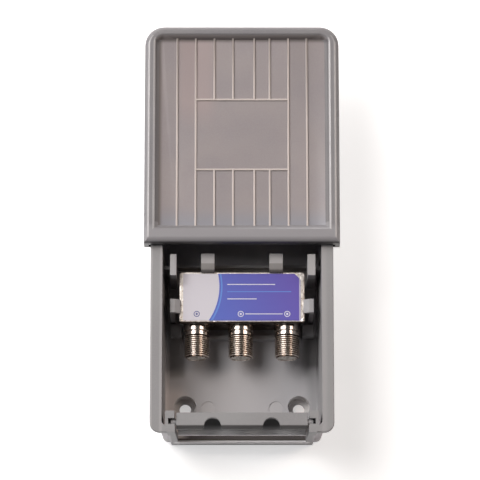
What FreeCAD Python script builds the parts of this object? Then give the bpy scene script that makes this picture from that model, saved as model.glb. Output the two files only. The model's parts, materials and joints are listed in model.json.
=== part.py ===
import FreeCAD, Part
import os
import Sketcher
from FreeCAD import Vector

# Satellite switch: a plated metal switch module with three F sockets, clipped into a moulded
# outdoor housing with a sliding cover and a swinging cable flap. Lengths are in millimetres.
# X runs to the right, Y towards the end where the cover opens, Z out of the front.

doc = FreeCAD.newDocument("SatelliteSwitch")
sheet = doc.addObject("Spreadsheet::Sheet", "Sizes")


# A size keeps its number together with its formula, so that each formula is written once.
class Size:
    def __init__(self, number, text):
        self.number = number
        self.text = text

    def __add__(self, other):
        return combine(self, "+", other)

    def __sub__(self, other):
        return combine(self, "-", other)

    def __mul__(self, other):
        return combine(self, "*", other)

    def __truediv__(self, other):
        return combine(self, "/", other)

    def __neg__(self):
        return Size(-self.number, "(-" + self.text + ")")


def asSize(value):
    if isinstance(value, Size):
        return value
    return Size(float(value), "(%s)" % value)


def combine(first, sign, second):
    second = asSize(second)
    number = {
        "+": first.number + second.number,
        "-": first.number - second.number,
        "*": first.number * second.number,
        "/": first.number / second.number if second.number else 0.0,
    }[sign]
    return Size(number, "(%s %s %s)" % (first.text, sign, second.text))


# Every size that can be set by itself; all other lengths are worked out from these.
sizes = {
    # How far a feature is sunk into the wall it joins, and how far a cut starts outside the body
    "overlap": 0.3,
    "cutPast": 1.0,

    # Overall layout and the rails of the base
    "baseLength": 82.2,
    "sideRoom": 6.25,           # between the lid of the module and the side wall
    "coverOverlap": 10.7,       # of the cover and the base, with the cover open
    "railFront": 31.0,          # front face of the rails above the back
    "railThickness": 2.0,
    "railLowRadius": 3.8,
    "railHighRadius": 5.2,
    "railEdgeRound": 0.35,
    "wallInset": 2.9,           # how far the side walls stand back from the rail edge
    "endInset": 1.1,            # the same at the two ends
    "wallThickness": 1.5,
    "wallRadius": 3.4,
    "draftAngle": 2.4,
    "floorFront": 7.0,          # front face of the floor above the back
    "floorThickness": 2.0,
    "floorFillet": 1.0,

    # Back recess with stiffening ribs
    "recessSideInset": 5.9,
    "recessEndInset": 4.1,
    "recessRadius": 2.0,
    "backRibThickness": 1.2,
    "backRibSpacing": 26.0,

    # Screw cups and the shallow round marks of the floor
    "screwSpacing": 43.0,
    "screwFromEnd": 14.5,
    "screwHoleRadius": 2.2,
    "screwHeadRadius": 4.1,
    "screwSeatThickness": 1.6,
    "screwCupRadius": 5.5,
    "roundMarkSpacing": 25.6,
    "roundMarkBelowScrews": 0.5,
    "roundMarkRadius": 2.6,
    "roundMarkDepth": 0.25,

    # Cable opening, its raised frame and the sockets of the flap pins
    "openingSideInset": 4.95,   # from the cavity's side
    "framePost": 3.0,
    "frameDepth": 6.2,
    "frameDraft": 2.2,
    "socketArm": 1.15,
    "socketInset": 0.1,
    "socketLip": 0.25,          # how much narrower the snap-in mouth is on each side
    "pinEndGap": 0.95,
    "socketHeight": 12.0,
    "socketOverhang": 2.6,

    # Cradle of the switch module
    "moduleClearance": 0.35,
    "guideGap": 1.0,
    "leftGuideThickness": 2.4,
    "rightGuideThickness": 3.0,
    "guideLength": 8.2,
    "guideTop": 29.0,
    "guideAboveLid": 5.6,
    "gussetThickness": 1.2,
    "gussetTop": 24.0,
    "clipWidth": 5.1,
    "clipSpacing": 25.7,
    "clipThickness": 2.3,
    "clipArm": 4.3,
    "clipHeadDepth": 1.9,
    "clipLeadIn": 1.5,
    "clipGrip": 0.5,
    "sideClipLength": 5.3,
    "sideClipFromPorts": 3.4,
    "sideClipReach": 3.4,
    "sideClipThickness": 1.8,
    "upperWallTop": 12.0,
    "upperWallThickness": 1.0,
    "upperWallInArms": 0.2,     # from the lower face of the clip arms, which it runs through
    "lowerWallTop": 10.0,
    "lowerWallThickness": 1.5,
    "lowerWallGap": 1.9,
    "lowerWallHalf": 22.0,
    "blockTop": 11.0,
    "blockWidth": 4.4,
    "blockLength": 4.5,
    "blockReach": 2.5,          # below the lid
    "blockInset": 0.8,
    "padSpacing": 30.0,
    "padWidth": 2.0,
    "padInset": 1.0,

    # Sliding cover
    "coverEndGap": 0.5,         # between the end wall and the base, with the cover closed
    "coverSideWall": 1.75,
    "coverSideGap": 0.75,
    "coverEndWall": 2.2,
    "coverRailGap": 0.3,
    "coverLipThickness": 1.4,
    "coverLipGap": 0.7,
    "coverPlate": 1.9,
    "coverCornerRadius": 7.2,
    "coverInsideRadius": 4.4,
    "coverChamfer": 1.4,
    "rimHeight": 2.2,
    "rimSide": 3.65,
    "rimTop": 3.1,
    "rimBottom": 5.4,
    "rimInnerRadius": 3.6,
    "rimSlope": 38.0,
    "ribWidth": 0.75,
    "ribHeight": 0.5,
    "ribEndInset": 1.0,
    "ribOuter": 24.55,
    "ribSecond": 17.5,
    "ribThird": 10.45,
    "ribFourthLeft": 3.4,
    "ribFourthRight": 4.65,
    "plainFieldFromTop": 28.7,
    "plainFieldHeight": 27.5,

    # Cable flap
    "flapSunk": 1.0,            # front of the flap behind the front of the rails
    "flapPlate": 2.5,
    "flapHeight": 6.0,
    "flapFromEnd": 1.6,
    "flapTopGap": 0.6,
    "flapSideGap": 0.5,
    "flapChamfer": 1.3,
    "skirtWall": 1.1,           # of its upright part; its slope is as thick, measured upright
    "skirtFromEdge": 4.7,       # upright part behind the lower edge of the plate
    "skirtBend": 6.0,           # level of the bend behind the front of the plate
    "skirtDepth": 10.5,
    "skirtReach": 0.5,          # of its edge beyond the lower edge of the plate
    "stiffenerThickness": 1.0,
    "skirtSideGap": 0.6,
    "stiffenerDepth": 4.0,
    "pinRadius": 1.2,
    "pinGap": 0.1,
    "pinLength": 2.0,
    "pinRoot": 1.0,
    "pinFromFront": 1.7,
    "pinFromEdge": 2.6,
    "archSpacing": 21.9,
    "archRadius": 3.2,
    "archFlare": 0.7,
    "archDepth": 2.6,
    "archFromEdge": 1.0,

    # Switch module: case, lid and label
    "caseWidth": 46.2,
    "caseHeight": 18.6,
    "caseFromEnd": 43.8,        # port wall above the bottom end of the base
    "caseBack": 8.7,
    "caseDepth": 14.4,
    "caseWall": 1.0,
    "caseFloor": 1.2,
    "caseCornerCut": 3.0,
    "boardLedge": 1.2,
    "ledgeInset": 1.0,
    "lidThickness": 0.6,
    "lidSkirt": 2.2,
    "lidSide": 0.45,
    "lidGap": 0.05,
    "lidCorner": 1.3,
    "lidEdgeRound": 0.5,
    "labelMargin": 1.5,
    "labelThickness": 0.15,
    "labelCornerCut": 2.3,

    # F sockets
    "portFromSide": 6.1,        # outer socket axes from the sides of the case
    "portMiddleShift": -0.45,
    "portAboveMiddle": 0.3,     # socket axis in front of the case's middle level
    "portSeatGap": 0.02,
    "portSpigotWall": 0.6,
    "portSpigotLength": 2.0,
    "portCollarStep": 0.23,     # how far the collar stands out over the thread
    "portCollarLength": 2.4,
    "portGrooveDepth": 0.42,
    "portGrooveLength": 0.45,
    "portRingLength": 1.3,      # plain ring between the groove and the thread
    "threadRadius": 4.72,
    "threadDepth": 0.5,
    "threadPitch": 0.794,
    "threadMouth": 0.67,
    "threadCutOver": 0.1,
    "portLength": 12.7,
    "portEndChamfer": 0.3,
    "portWall": 1.32,
    "insulatorRecess": 0.3,
    "insulatorLength": 9.5,
    "insulatorEntryGap": 0.15,
    "insulatorEntryDepth": 0.8,
    "contactBoreRadius": 0.55,
    "contactWall": 0.4,
    "contactBoreDepth": 7.0,
    "contactTailRadius": 0.5,
    "contactTailLength": 5.4,

    # Circuit board and its parts
    "boardThickness": 1.0,
    "boardSideGap": 0.3,
    "chipLength": 8.7,
    "chipWidth": 3.9,
    "chipThickness": 1.5,
    "chipStandOff": 0.15,
    "legPitch": 1.27,
    "legWidth": 0.42,
    "legReach": 1.05,
    "legRoot": 0.1,
    "legThickness": 0.25,
    "regulatorLength": 6.5,
    "regulatorWidth": 5.8,
    "regulatorThickness": 2.3,
    "regulatorTab": 1.2,
    "regulatorTabInset": 0.6,
    "regulatorLegWidth": 0.85,
    "regulatorLegThickness": 0.5,
    "canRadius": 2.5,
    "canHeight": 5.2,
    "canBase": 5.3,
    "canBaseHeight": 0.8,
    "resonatorLength": 7.4,
    "resonatorWidth": 3.4,
    "resonatorHeight": 2.0,
    "diodeLength": 1.7,
    "diodeWidth": 1.25,
    "diodeHeight": 0.95,
    "transistorLength": 2.9,
    "transistorWidth": 1.3,
    "transistorHeight": 1.0,
    "capacitorLength": 1.6,
    "capacitorWidth": 0.8,
    "capacitorHeight": 0.8,
    "resistorLength": 1.65,
    "resistorWidth": 0.85,
    "resistorHeight": 0.45,
    "chokeLength": 3.2,
    "chokeWidth": 2.5,
    "chokeHeight": 2.1,
}


class Names:
    pass


# Each size goes into the sheet and is offered as s.name.
s = Names()
for row, (name, value) in enumerate(sizes.items(), 1):
    sheet.set("A%d" % row, name)
    sheet.set("B%d" % row, str(value))
    sheet.setAlias("B%d" % row, name)
    setattr(s, name, Size(float(value), "Sizes." + name))
doc.recompute()


# Levels and edges that several pieces share
caseHalf = s.caseWidth / 2
lidHalf = caseHalf + s.lidGap + s.lidSide
cavityHalf = lidHalf + s.sideRoom
wallHalf = cavityHalf + s.wallThickness
baseHalf = wallHalf + s.wallInset
coverLength = s.baseLength + s.coverEndGap + s.coverEndWall
halfLength = (s.baseLength + coverLength - s.coverOverlap) / 2
baseBottom = -halfLength
baseTop = baseBottom + s.baseLength
railBack = s.railFront - s.railThickness
cavityBottom = baseBottom + s.endInset + s.wallThickness
cavityTop = baseTop - s.endInset - s.wallThickness
floorBack = s.floorFront - s.floorThickness
screwY = baseBottom + s.screwFromEnd
caseBottom = baseBottom + s.caseFromEnd
caseTop = caseBottom + s.caseHeight
lidBottom = caseBottom - s.lidGap - s.lidSide
lidTop = caseTop + s.lidGap + s.lidSide
caseFront = s.caseBack + s.caseDepth
lidFront = caseFront + s.lidThickness
portLevel = s.caseBack + s.caseDepth / 2 + s.portAboveMiddle
boardFront = portLevel - s.contactTailRadius
openingHalf = cavityHalf - s.openingSideInset
flapFront = s.railFront - s.flapSunk
flapBottom = baseBottom + s.flapFromEnd
flapTop = flapBottom + s.flapHeight
flapHalf = openingHalf - s.flapSideGap
pinY = flapBottom + s.pinFromEdge
pinZ = flapFront - s.pinFromFront
coverHalf = baseHalf + s.coverSideGap + s.coverSideWall
coverBottom = halfLength - coverLength
channelFront = s.railFront + s.coverRailGap
channelBack = railBack - s.coverRailGap
coverBack = channelBack - s.coverLipThickness
panelFront = channelFront + s.coverPlate
coverFront = panelFront + s.rimHeight
portBore = s.threadRadius - s.portWall
spigotRadius = portBore + s.portSpigotWall
contactRadius = s.contactBoreRadius + s.contactWall


def bind(item, name, value):
    item.setExpression(name, asSize(value).text)


def newBody(label):
    body = doc.addObject("PartDesign::Body", label)
    body.Label = label
    return body


# A sketch on one of the body's own origin planes, lifted along the plane's normal.
def newSketch(body, name, plane, lift):
    sketch = body.newObject("Sketcher::SketchObject", body.Name + name)
    for feature in body.Origin.OriginFeatures:
        if feature.Role == plane:
            sketch.AttachmentSupport = (feature, [""])
    sketch.MapMode = "FlatFace"
    bind(sketch, "AttachmentOffset.Base.z", lift)
    sketch.Visibility = False
    return sketch


def pinPoint(sketch, geometry, end, x, y):
    for kind, value in (("DistanceX", x), ("DistanceY", y)):
        if value is not None:
            value = asSize(value)
            rule = Sketcher.Constraint(kind, -1, 1, geometry, end, value.number)
            bind(sketch, "Constraints[%d]" % sketch.addConstraint(rule), value)


# A closed outline with straight sides through the given points.
def polygon(sketch, points):
    first = sketch.GeometryCount
    count = len(points)
    places = [Vector(asSize(x).number, asSize(y).number, 0) for x, y in points]
    for index in range(count):
        line = Part.LineSegment(places[index], places[(index + 1) % count])
        sketch.addGeometry(line, False)
    for index in range(count):
        following = first + (index + 1) % count
        sketch.addConstraint(Sketcher.Constraint("Coincident", first + index, 2, following, 1))
    for index, (x, y) in enumerate(points):
        pinPoint(sketch, first + index, 1, x, y)


def rectangle(sketch, left, right, bottom, top):
    polygon(sketch, [(left, bottom), (right, bottom), (right, top), (left, top)])


def mirroredRectangles(sketch, inner, outer, bottom, top):
    rectangle(sketch, -outer, -inner, bottom, top)
    rectangle(sketch, inner, outer, bottom, top)


# A rectangle whose lower and upper corners are round, or sharp where no radius is given.
def roundedRectangle(sketch, left, right, bottom, top, lowRadius, highRadius):
    sides = [asSize(side) for side in (left, right, bottom, top)]
    x0, x1, y0, y1 = [side.number for side in sides]
    low = lowRadius.number if lowRadius else 0.0
    high = highRadius.number if highRadius else 0.0
    lines = [
        (Vector(x0 + low, y0, 0), Vector(x1 - low, y0, 0)),
        (Vector(x1, y0 + low, 0), Vector(x1, y1 - high, 0)),
        (Vector(x1 - high, y1, 0), Vector(x0 + high, y1, 0)),
        (Vector(x0, y1 - high, 0), Vector(x0, y0 + low, 0)),
    ]
    lineNumbers = [sketch.addGeometry(Part.LineSegment(*ends), False) for ends in lines]
    quarter = 1.5707963267948966
    corners = [
        (x1 - low, y0 + low, low, lowRadius, -quarter),
        (x1 - high, y1 - high, high, highRadius, 0.0),
        (x0 + high, y1 - high, high, highRadius, quarter),
        (x0 + low, y0 + low, low, lowRadius, 2 * quarter),
    ]
    for index, (x, y, number, radius, start) in enumerate(corners):
        before = lineNumbers[index]
        after = lineNumbers[(index + 1) % 4]
        if radius is None:
            sketch.addConstraint(Sketcher.Constraint("Coincident", before, 2, after, 1))
            continue
        circle = Part.Circle(Vector(x, y, 0), Vector(0, 0, 1), number)
        arc = sketch.addGeometry(Part.ArcOfCircle(circle, start, start + quarter), False)
        sketch.addConstraint(Sketcher.Constraint("Tangent", before, 2, arc, 1))
        sketch.addConstraint(Sketcher.Constraint("Tangent", arc, 2, after, 1))
        rule = sketch.addConstraint(Sketcher.Constraint("Radius", arc, number))
        bind(sketch, "Constraints[%d]" % rule, radius)
    for index, kind in enumerate(("Horizontal", "Vertical", "Horizontal", "Vertical")):
        sketch.addConstraint(Sketcher.Constraint(kind, lineNumbers[index]))
    pinPoint(sketch, lineNumbers[0], 1, None, bottom)
    pinPoint(sketch, lineNumbers[1], 1, right, None)
    pinPoint(sketch, lineNumbers[2], 1, None, top)
    pinPoint(sketch, lineNumbers[3], 1, left, None)


def circle(sketch, x, y, radius):
    shape = Part.Circle(Vector(asSize(x).number, asSize(y).number, 0), Vector(0, 0, 1), radius.number)
    number = sketch.addGeometry(shape, False)
    pinPoint(sketch, number, 3, x, y)
    rule = sketch.addConstraint(Sketcher.Constraint("Radius", number, radius.number))
    bind(sketch, "Constraints[%d]" % rule, radius)


def sweepFeature(kind, body, sketch, length, reverse, taper):
    feature = body.newObject("PartDesign::" + kind, sketch.Name + kind)
    feature.Profile = sketch
    feature.Reversed = reverse
    bind(feature, "Length", length)
    if taper is not None:
        bind(feature, "TaperAngle", taper)
    doc.recompute()
    return feature


# Adds material along the sketch normal, or against it with reverse.
def pad(body, sketch, length, reverse=False, taper=None):
    return sweepFeature("Pad", body, sketch, length, reverse, taper)


# Cuts against the sketch normal, or along it with reverse.
def pocket(body, sketch, length, reverse=False, taper=None):
    return sweepFeature("Pocket", body, sketch, length, reverse, taper)


def turn(kind, body, sketch):
    feature = body.newObject("PartDesign::" + kind, sketch.Name + kind)
    feature.Profile = sketch
    feature.ReferenceAxis = (sketch, ["V_Axis"])
    feature.Angle = 360
    doc.recompute()
    return feature


# Names of the tip's edges for which the test is true.
def edgesWhere(body, test):
    edges = body.Tip.Shape.Edges
    return ["Edge%d" % (index + 1) for index, edge in enumerate(edges) if test(edge.BoundBox)]


def dressEdges(kind, body, names, sizeName, size):
    feature = body.newObject("PartDesign::" + kind, body.Name + kind)
    feature.Base = (body.Tip if body.Tip != feature else feature.BaseFeature, names)
    bind(feature, sizeName, size)
    doc.recompute()
    return feature


def near(first, second):
    return abs(first - second) < 0.01


def buildBase():
    body = newBody("base_housing")
    # Drafted outer walls, drawn at rail level and padded down to the back
    walls = newSketch(body, "Walls", "XY_Plane", s.railFront)
    roundedRectangle(walls, -wallHalf, wallHalf, baseBottom + s.endInset, baseTop - s.endInset,
                     s.wallRadius, s.railHighRadius)
    pad(body, walls, s.railFront, reverse=True, taper=-s.draftAngle)
    # Rails all round
    rails = newSketch(body, "Rails", "XY_Plane", s.railFront)
    roundedRectangle(rails, -baseHalf, baseHalf, baseBottom, baseTop,
                     s.railLowRadius, s.railHighRadius)
    pad(body, rails, s.railThickness, reverse=True)
    front = s.railFront.number
    names = edgesWhere(body, lambda box: near(box.ZMin, front) and near(box.ZMax, front))
    dressEdges("Fillet", body, names, "Radius", s.railEdgeRound)
    # Raised frame of the cable opening at the bottom end
    frame = newSketch(body, "Frame", "XY_Plane", s.railFront)
    frameHalf = openingHalf + s.framePost
    rectangle(frame, -frameHalf, frameHalf, baseBottom, baseBottom + s.frameDepth)
    pad(body, frame, s.railFront, reverse=True, taper=-s.frameDraft)
    # Drafted cavity with a filleted floor
    cavity = newSketch(body, "Cavity", "XY_Plane", s.railFront)
    roundedRectangle(cavity, -cavityHalf, cavityHalf, cavityBottom, cavityTop,
                     s.wallRadius - s.wallThickness, s.railHighRadius - s.wallThickness)
    pocket(body, cavity, s.railFront - s.floorFront, taper=-s.draftAngle)
    floorLevel = s.floorFront.number
    names = edgesWhere(body, lambda box: near(box.ZMin, floorLevel) and near(box.ZMax, floorLevel))
    dressEdges("Fillet", body, names, "Radius", s.floorFillet)
    # Recess in the back, which leaves a rim to stand on
    recess = newSketch(body, "Recess", "XY_Plane", 0)
    recessHalf = baseHalf - s.recessSideInset
    roundedRectangle(recess, -recessHalf, recessHalf, baseBottom + s.recessEndInset,
                     baseTop - s.recessEndInset, s.recessRadius, s.recessRadius)
    pocket(body, recess, floorBack, reverse=True)
    # Stiffening ribs in the recess
    ribs = newSketch(body, "BackRibs", "XY_Plane", 0)
    middle = (baseBottom + baseTop) / 2
    for count in (-1, 0, 1):
        rowY = middle + s.backRibSpacing * count
        rectangle(ribs, -recessHalf - s.overlap, recessHalf + s.overlap,
                  rowY - s.backRibThickness / 2, rowY + s.backRibThickness / 2)
    pad(body, ribs, floorBack + s.overlap)
    # Opening in the bottom wall, down to the floor
    opening = newSketch(body, "Opening", "XY_Plane", s.railFront)
    rectangle(opening, -openingHalf, openingHalf, baseBottom - s.cutPast * 2,
              flapTop + s.flapTopGap)
    pocket(body, opening, s.railFront - s.floorFront, taper=-s.frameDraft)
    buildScrewCups(body)
    buildCradle(body)
    buildClips(body)
    buildPinSockets(body)
    return body


def buildScrewCups(body):
    cups = newSketch(body, "Cups", "XY_Plane", 0)
    for side in (-1, 1):
        circle(cups, s.screwSpacing * side / 2, screwY, s.screwCupRadius)
    pad(body, cups, floorBack + s.overlap)
    heads = newSketch(body, "Heads", "XY_Plane", s.floorFront)
    for side in (-1, 1):
        circle(heads, s.screwSpacing * side / 2, screwY, s.screwHeadRadius)
    pocket(body, heads, s.floorFront - s.screwSeatThickness)
    holes = newSketch(body, "Holes", "XY_Plane", s.floorFront)
    for side in (-1, 1):
        circle(holes, s.screwSpacing * side / 2, screwY, s.screwHoleRadius)
    pocket(body, holes, s.floorFront + s.cutPast)
    marks = newSketch(body, "Marks", "XY_Plane", s.floorFront)
    for side in (-1, 1):
        circle(marks, s.roundMarkSpacing * side / 2, screwY - s.roundMarkBelowScrews,
               s.roundMarkRadius)
    pocket(body, marks, s.roundMarkDepth)


# Everything here stands on the floor, so it starts a little below the floor's front face.
def standOnFloor(body, sketch, top):
    return pad(body, sketch, top - s.floorFront + s.floorThickness / 2)


def floorSketch(body, name):
    return newSketch(body, name, "XY_Plane", s.floorFront - s.floorThickness / 2)


def buildCradle(body):
    # Guides beside the upper corners of the module
    guides = floorSketch(body, "Guides")
    guideInner = lidHalf + s.guideGap
    leftOuter = -guideInner - s.leftGuideThickness
    rightOuter = guideInner + s.rightGuideThickness
    guideHigh = lidTop + s.guideAboveLid
    guideLow = guideHigh - s.guideLength
    rectangle(guides, leftOuter, -guideInner, guideLow, guideHigh)
    rectangle(guides, guideInner, rightOuter, guideLow, guideHigh)
    standOnFloor(body, guides, s.guideTop)
    # Gussets that tie the guides to the side walls
    gussets = floorSketch(body, "Gussets")
    wallSide = cavityHalf - s.overlap
    gussetLow = (guideLow + guideHigh - s.gussetThickness) / 2
    gussetHigh = gussetLow + s.gussetThickness
    rectangle(gussets, -wallSide, leftOuter + s.overlap, gussetLow, gussetHigh)
    rectangle(gussets, rightOuter - s.overlap, wallSide, gussetLow, gussetHigh)
    standOnFloor(body, gussets, s.gussetTop)
    # Low wall above the module, between the guides
    upper = floorSketch(body, "UpperWall")
    upperY = lidTop + s.clipArm + s.upperWallInArms
    rectangle(upper, -guideInner - s.overlap, guideInner + s.overlap,
              upperY, upperY + s.upperWallThickness)
    standOnFloor(body, upper, s.upperWallTop)
    # Low wall below the ports and the blocks at its ends
    lower = floorSketch(body, "LowerWall")
    lowerTop = lidBottom - s.lowerWallGap
    rectangle(lower, -s.lowerWallHalf, s.lowerWallHalf, lowerTop - s.lowerWallThickness, lowerTop)
    standOnFloor(body, lower, s.lowerWallTop)
    blocks = floorSketch(body, "Blocks")
    blockInner = lidHalf - s.blockInset
    blockLow = lidBottom - s.blockReach
    mirroredRectangles(blocks, blockInner, blockInner + s.blockWidth,
                       blockLow, blockLow + s.blockLength)
    standOnFloor(body, blocks, s.blockTop)
    # Two pads under the back of the case
    pads = floorSketch(body, "Pads")
    mirroredRectangles(pads, s.padSpacing / 2 - s.padWidth / 2, s.padSpacing / 2 + s.padWidth / 2,
                       caseBottom + s.padInset, caseTop - s.padInset)
    standOnFloor(body, pads, s.caseBack)


# Hooked clips: two above the module and one on each side of it.
def buildClips(body):
    hookBack = lidFront + s.moduleClearance
    hookFront = hookBack + s.clipHeadDepth
    root = s.floorFront - s.floorThickness / 2
    armLow = lidTop + s.clipArm
    armHigh = armLow + s.clipThickness
    noseY = lidTop - s.clipGrip
    for side, word in ((-1, "Left"), (1, "Right")):
        clip = newSketch(body, word + "Clip", "YZ_Plane", s.clipSpacing * side / 2 - s.clipWidth / 2)
        polygon(clip, [(armLow, root), (armHigh, root), (armHigh, hookFront),
                       (lidTop + s.clipThickness, hookFront), (noseY, hookFront - s.clipLeadIn),
                       (noseY, hookBack), (armLow, hookBack)])
        pad(body, clip, s.clipWidth)
    sideLow = lidBottom + s.sideClipFromPorts
    outer = lidHalf + s.sideClipReach
    inner = outer - s.sideClipThickness
    nose = lidHalf - s.clipGrip
    for side, word in ((-1, "Left"), (1, "Right")):
        clip = newSketch(body, word + "SideClip", "XZ_Plane", -sideLow)
        profile = [(inner, root), (outer, root), (outer, hookFront),
                   (inner, hookFront), (nose, hookFront - s.clipLeadIn), (nose, hookBack),
                   (inner, hookBack)]
        polygon(clip, [(x * side, z) for x, z in profile])
        pad(body, clip, s.sideClipLength, reverse=True)


# C-shaped sockets at both ends of the cable opening; the pins snap in from the front.
def buildPinSockets(body):
    seatHalf = s.pinRadius + s.pinGap
    seatOuter = flapHalf + s.pinLength + s.pinEndGap
    slotInner = openingHalf - s.cutPast
    blocks = newSketch(body, "Sockets", "XY_Plane", s.railFront)
    mirroredRectangles(blocks, openingHalf + s.socketInset, seatOuter + s.socketArm,
                       cavityBottom - s.overlap, pinY + seatHalf + s.socketOverhang)
    pad(body, blocks, s.socketHeight, reverse=True)
    mouths = newSketch(body, "PinMouths", "XY_Plane", s.railFront)
    mirroredRectangles(mouths, slotInner, seatOuter, pinY - seatHalf + s.socketLip,
                       pinY + seatHalf - s.socketLip)
    pocket(body, mouths, s.railFront - pinZ)
    seats = newSketch(body, "PinSeats", "XY_Plane", pinZ + seatHalf)
    mirroredRectangles(seats, slotInner, seatOuter, pinY - seatHalf, pinY + seatHalf)
    pocket(body, seats, seatHalf * 2)


def buildCover():
    body = newBody("sliding_cover")
    block = newSketch(body, "Block", "XY_Plane", coverFront)
    roundedRectangle(block, -coverHalf, coverHalf, coverBottom, halfLength,
                     None, s.coverCornerRadius)
    pad(body, block, coverFront - coverBack, reverse=True)
    front = coverFront.number
    names = edgesWhere(body, lambda box: near(box.ZMin, front) and near(box.ZMax, front))
    dressEdges("Chamfer", body, names, "Size", s.coverChamfer)
    # Sunken panel inside the raised rim
    panel = newSketch(body, "Panel", "XY_Plane", coverFront)
    roundedRectangle(panel, -coverHalf + s.rimSide, coverHalf - s.rimSide,
                     coverBottom + s.rimBottom, halfLength - s.rimTop,
                     None, s.rimInnerRadius)
    pocket(body, panel, s.rimHeight, taper=-s.rimSlope)
    # Open back between the lips, and the channels for the rails
    insideTop = halfLength - s.coverEndWall
    lipInner = wallHalf + s.coverLipGap
    inside = newSketch(body, "Inside", "XY_Plane", coverBack)
    roundedRectangle(inside, -lipInner, lipInner, coverBottom - s.cutPast, insideTop,
                     None, s.coverInsideRadius)
    pocket(body, inside, channelFront - coverBack, reverse=True)
    channels = newSketch(body, "Channels", "XY_Plane", channelBack)
    channelHalf = coverHalf - s.coverSideWall
    roundedRectangle(channels, -channelHalf, channelHalf, coverBottom - s.cutPast, insideTop,
                     None, s.coverCornerRadius - s.coverSideWall)
    pocket(body, channels, channelFront - channelBack, reverse=True)
    buildCoverRibs(body)
    return body


def buildCoverRibs(body):
    # Long ribs run over the whole panel; the inner ones stop at the plain field
    low = coverBottom + s.rimBottom + s.ribEndInset
    high = halfLength - s.rimTop - s.ribEndInset
    fieldTop = halfLength - s.plainFieldFromTop
    fieldBottom = fieldTop - s.plainFieldHeight
    start = panelFront - s.coverPlate / 2
    height = s.ribHeight + s.coverPlate / 2
    half = s.ribWidth / 2
    outerRibs = newSketch(body, "LongRibs", "XY_Plane", start)
    for x in (s.ribOuter, s.ribSecond):
        mirroredRectangles(outerRibs, x - half, x + half, low, high)
    pad(body, outerRibs, height)
    innerRibs = newSketch(body, "ShortRibs", "XY_Plane", start)
    for x in (-s.ribThird, -s.ribFourthLeft, s.ribFourthRight, s.ribThird):
        rectangle(innerRibs, x - half, x + half, low, fieldBottom)
        rectangle(innerRibs, x - half, x + half, fieldTop, high)
    pad(body, innerRibs, height)
    crossRibs = newSketch(body, "CrossRibs", "XY_Plane", start)
    for y in (fieldBottom, fieldTop):
        rectangle(crossRibs, -s.ribSecond, s.ribSecond, y - half, y + half)
    pad(body, crossRibs, height)


def buildFlap():
    body = newBody("cable_flap")
    skirtHalf = flapHalf - s.skirtSideGap
    middle = flapFront - s.flapPlate / 2
    plate = newSketch(body, "Plate", "XY_Plane", flapFront)
    rectangle(plate, -flapHalf, flapHalf, flapBottom, flapTop)
    pad(body, plate, s.flapPlate, reverse=True)
    front = flapFront.number
    low = flapBottom.number
    names = edgesWhere(body, lambda box: near(box.ZMin, front) and near(box.YMax, low))
    dressEdges("Chamfer", body, names, "Size", s.flapChamfer)
    # Skirt that goes down behind the arches and then slopes out, and a stiffener above it
    upright = flapBottom + s.skirtFromEdge
    bend = flapFront - s.skirtBend
    edge = flapBottom - s.skirtReach
    edgeLevel = flapFront - s.skirtDepth
    skirt = newSketch(body, "Skirt", "YZ_Plane", -skirtHalf)
    polygon(skirt, [(upright, middle), (upright, bend), (edge, edgeLevel),
                    (edge, edgeLevel - s.skirtWall), (upright + s.skirtWall, bend - s.skirtWall),
                    (upright + s.skirtWall, middle)])
    pad(body, skirt, skirtHalf * 2)
    stiffener = newSketch(body, "Stiffener", "XY_Plane", middle)
    rectangle(stiffener, -skirtHalf, skirtHalf, flapTop - s.stiffenerThickness, flapTop)
    pad(body, stiffener, s.flapPlate / 2 + s.stiffenerDepth, reverse=True)
    # Two pins, one at each end
    for side, word in ((-1, "Left"), (1, "Right")):
        start = flapHalf - s.pinRoot if side > 0 else -flapHalf - s.pinLength
        pin = newSketch(body, word + "Pin", "YZ_Plane", start)
        circle(pin, pinY, pinZ, s.pinRadius)
        pad(body, pin, s.pinLength + s.pinRoot)
    # Arched notches with flared mouths
    centre = flapBottom + s.archFromEdge
    arches = newSketch(body, "Arches", "XY_Plane", flapFront)
    mouths = newSketch(body, "Mouths", "XY_Plane", flapFront)
    for side in (-1, 1):
        x = s.archSpacing * side / 2
        circle(arches, x, centre, s.archRadius)
        wide = s.archRadius + s.archFlare
        polygon(mouths, [(x - wide, flapBottom - s.overlap), (x + wide, flapBottom - s.overlap),
                         (x + s.archRadius, centre), (x - s.archRadius, centre)])
    pocket(body, arches, s.archDepth)
    pocket(body, mouths, s.archDepth)
    return body


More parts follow.
